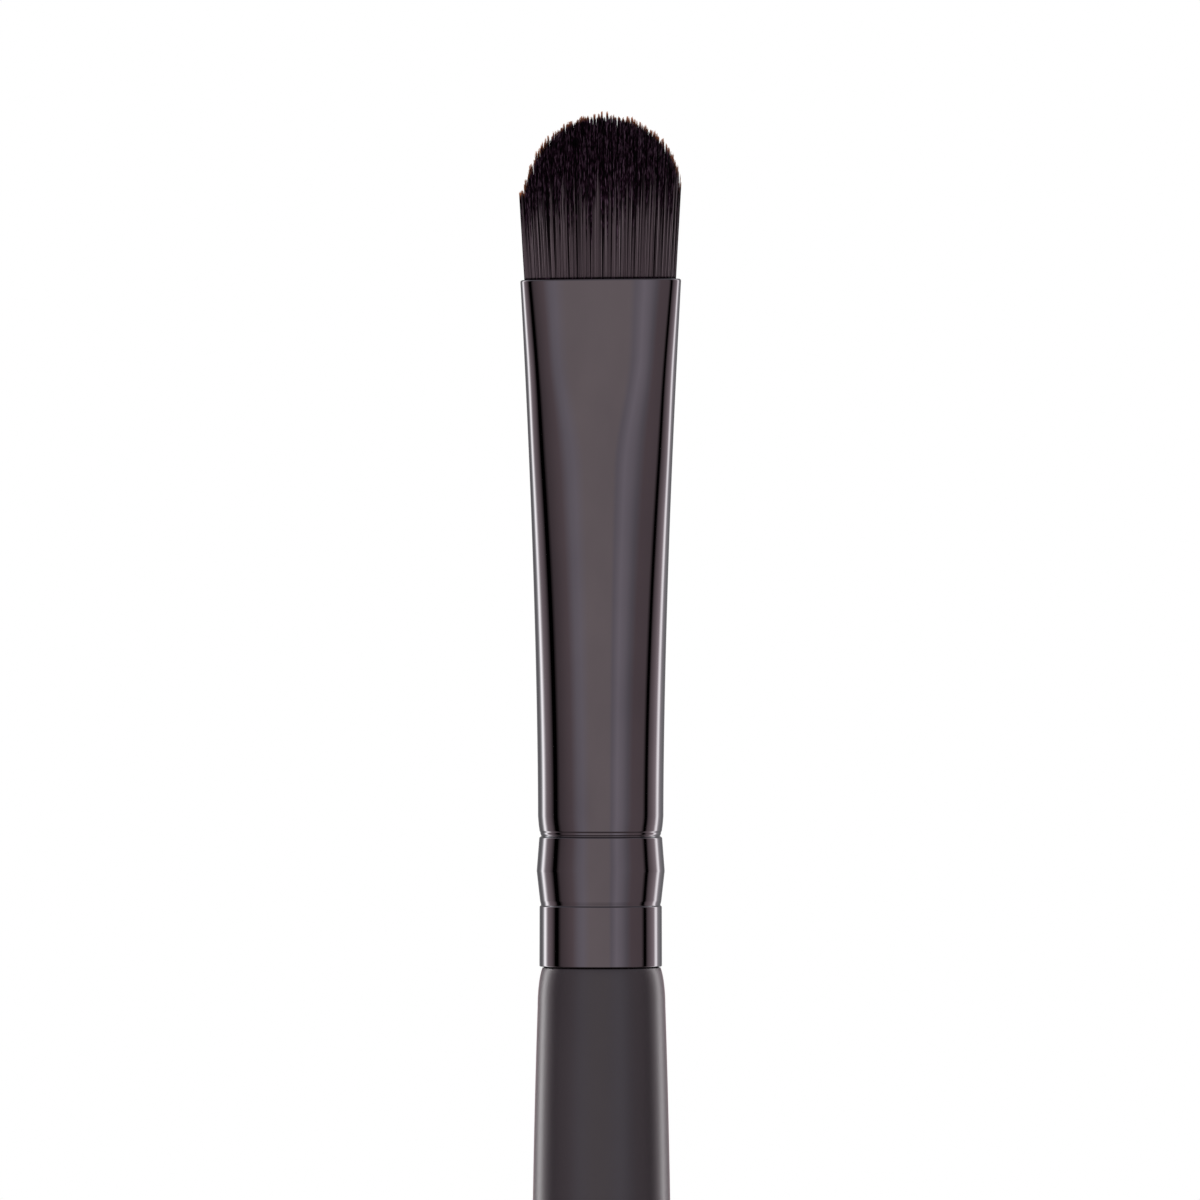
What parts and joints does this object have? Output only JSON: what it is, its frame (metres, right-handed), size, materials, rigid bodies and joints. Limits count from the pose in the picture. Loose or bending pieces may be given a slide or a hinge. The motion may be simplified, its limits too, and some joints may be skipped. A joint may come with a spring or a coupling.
{
  "type": "concealer brush",
  "caption": "Small domed flat brush for applying concealer, with a crimped metal ferrule and a turned, tapering handle.",
  "frame": {"origin": "centre of the flat on the handle's butt end", "axes": "+Z along the brush from the butt to the tip; +X across the broad width of the tuft, to the right in the picture; -Y towards the viewer, square to a broad face of the tuft"},
  "size_m": [0.01, 0.0088, 0.1735],
  "materials": {
    "handle_lacquer": "soft matt charcoal lacquer on turned hardwood",
    "glue": "cured cream adhesive",
    "ferrule_metal": "polished, anodised to a dark gunmetal",
    "resin": "clear amber epoxy",
    "filament": "tapered nylon filament, near black with brown tips"
  },
  "bodies": {
    "root": {"handle": "handle_lacquer", "handle_cement": "glue", "ferrule": "ferrule_metal", "root_resin": "resin", "bristle_tuft": "filament"}
  },
  "joints": []
}
